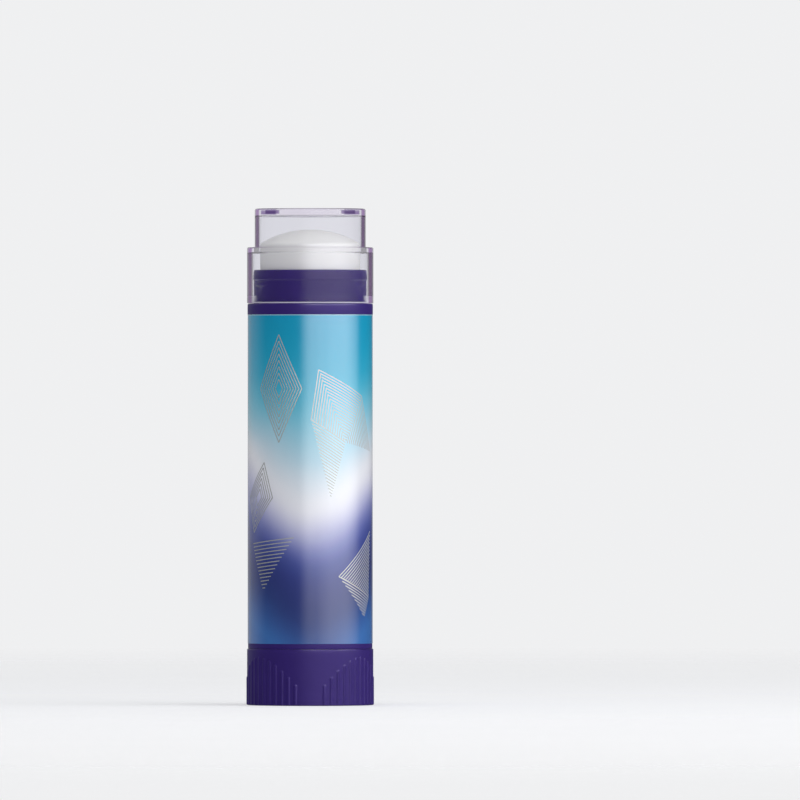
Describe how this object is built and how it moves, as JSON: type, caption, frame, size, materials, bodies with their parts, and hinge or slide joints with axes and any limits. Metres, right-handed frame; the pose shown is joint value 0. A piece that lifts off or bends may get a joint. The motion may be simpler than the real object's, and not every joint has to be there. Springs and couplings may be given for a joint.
{
  "type": "twist-up eraser stick",
  "caption": "Refillable eraser in a round tube: a ribbed knob turns a screw that lifts the eraser, and a clear stepped cap covers its domed tip.",
  "frame": {"origin": "on the stick's axis, at the underside of the knob, which it stands on", "axes": "+Z along the stick towards the eraser's tip, and -Y to the front, where the knob's middle dip is; the label's seam is at +Y"},
  "size_m": [0.0204, 0.0203, 0.0794],
  "materials": {
    "purple_plastic": "smooth moulded, deep purple",
    "printed_film": "printed film, teal through white to blue, with fine silver lines",
    "inner_plastic": "moulded, off-white",
    "eraser_vinyl": "smooth white vinyl",
    "clear_plastic": "clear with a faint lilac tint"
  },
  "bodies": {
    "barrel": {"barrel": "purple_plastic", "label": "printed_film"},
    "knob": {"knob": "purple_plastic", "spindle": "inner_plastic"},
    "carrier": {"carrier": "inner_plastic"},
    "eraser": {"eraser": "eraser_vinyl"},
    "cap": {"cap": "clear_plastic"}
  },
  "joints": [
    {"name": "knob_twist", "type": "hinge", "parent": "barrel", "child": "knob", "pos_m": [0, 0, 0.009], "axis": [0, 0, -1], "range_deg": [0, 2880]},
    {"name": "carrier_lift", "type": "slide", "parent": "barrel", "child": "carrier", "axis": [0, 0, 1], "range_m": [0, 0.04]},
    {"name": "eraser_refill", "type": "slide", "parent": "carrier", "child": "eraser", "axis": [0, 0, 1], "range_m": [0, 0.055]},
    {"name": "cap_lift", "type": "slide", "parent": "eraser", "child": "cap", "axis": [0, 0, 1], "range_m": [0, 0.025]}
  ],
  "couplings": [
    {"joint": "carrier_lift", "follows": "knob_twist", "m_per_rad": 0.00079577}
  ]
}
